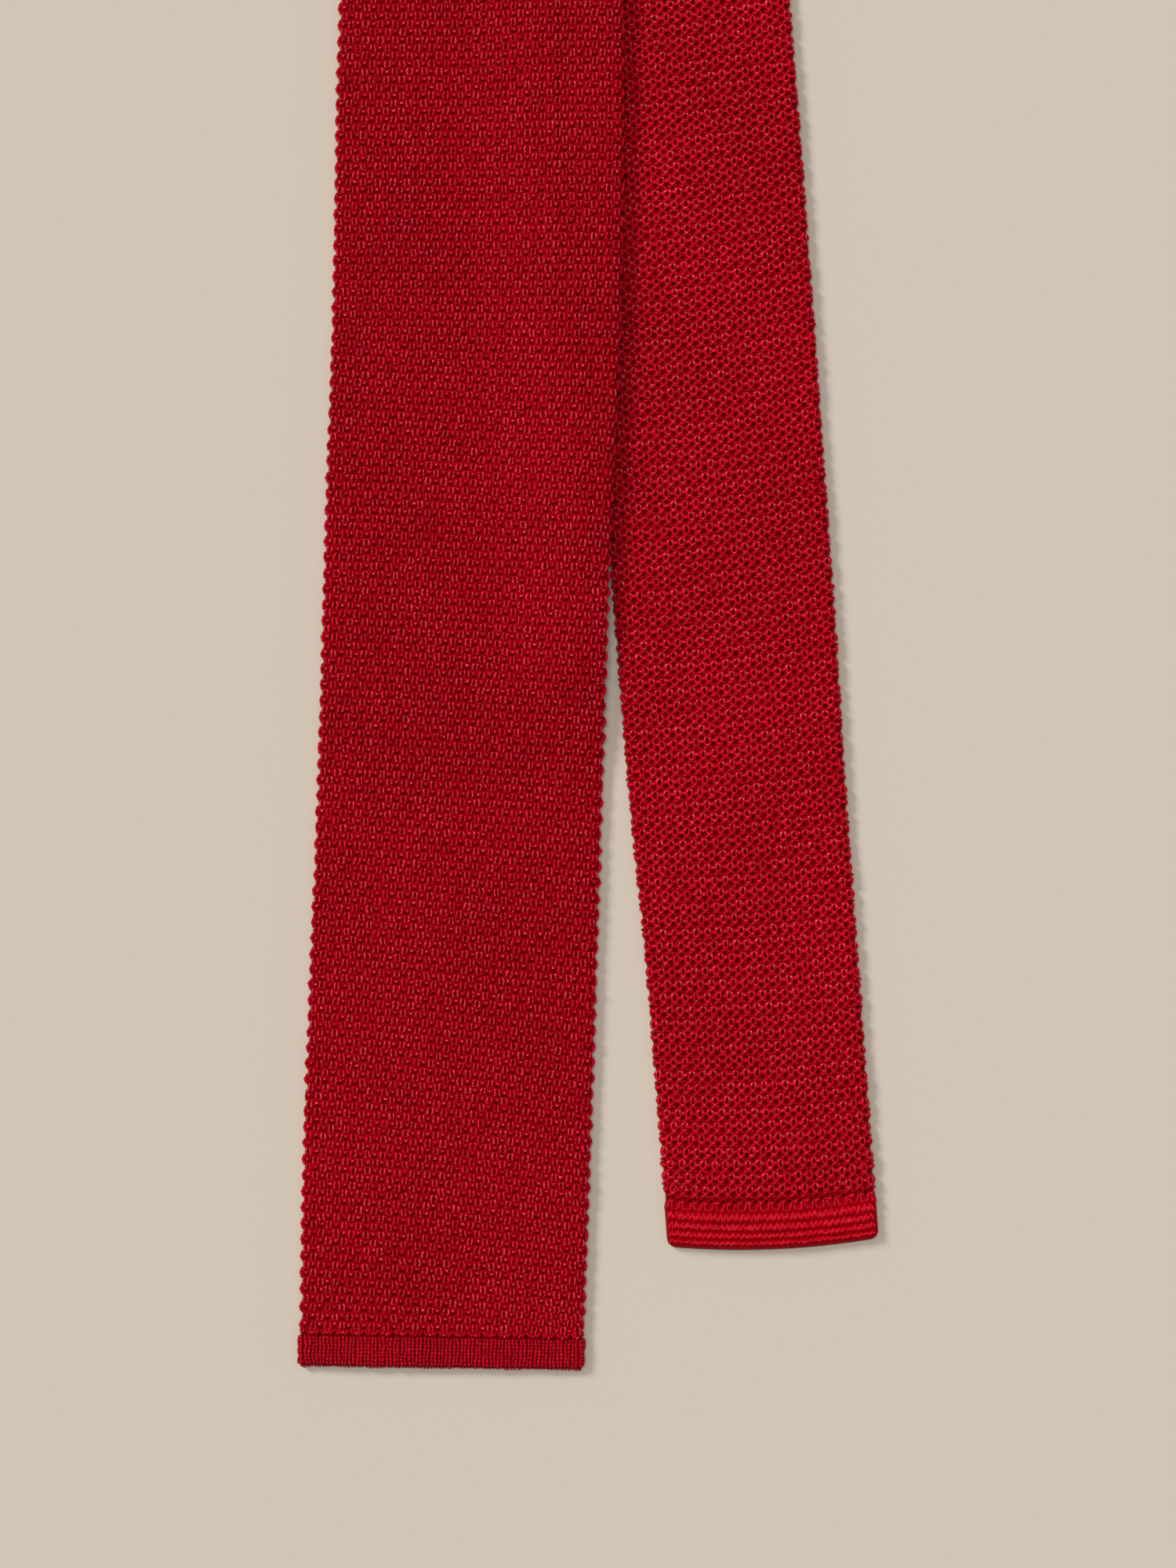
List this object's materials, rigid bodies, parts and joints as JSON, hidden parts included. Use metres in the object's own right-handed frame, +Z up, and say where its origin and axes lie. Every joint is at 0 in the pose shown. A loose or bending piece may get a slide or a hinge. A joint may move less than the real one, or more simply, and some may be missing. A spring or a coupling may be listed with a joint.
{
  "type": "knit tie",
  "caption": "Square-ended knitted silk tie, laid flat and folded at the neck, with its wide blade over its narrow blade.",
  "frame": {"origin": "middle of the bounding box's underside, on the surface that the tie lies on", "axes": "+Y from the two tips to the neck fold, +X from the wide blade to the narrow blade, +Z up"},
  "size_m": [0.1212, 0.7428, 0.009],
  "materials": {
    "knit_body": "matte silk yarn, openwork tuck knit",
    "knit_hem": "matte silk yarn, plain knit"
  },
  "bodies": {
    "root": {"wide_blade": "knit_body", "narrow_blade": "knit_body", "neck_band": "knit_body", "wide_hem": "knit_hem", "narrow_hem": "knit_hem"}
  },
  "joints": []
}
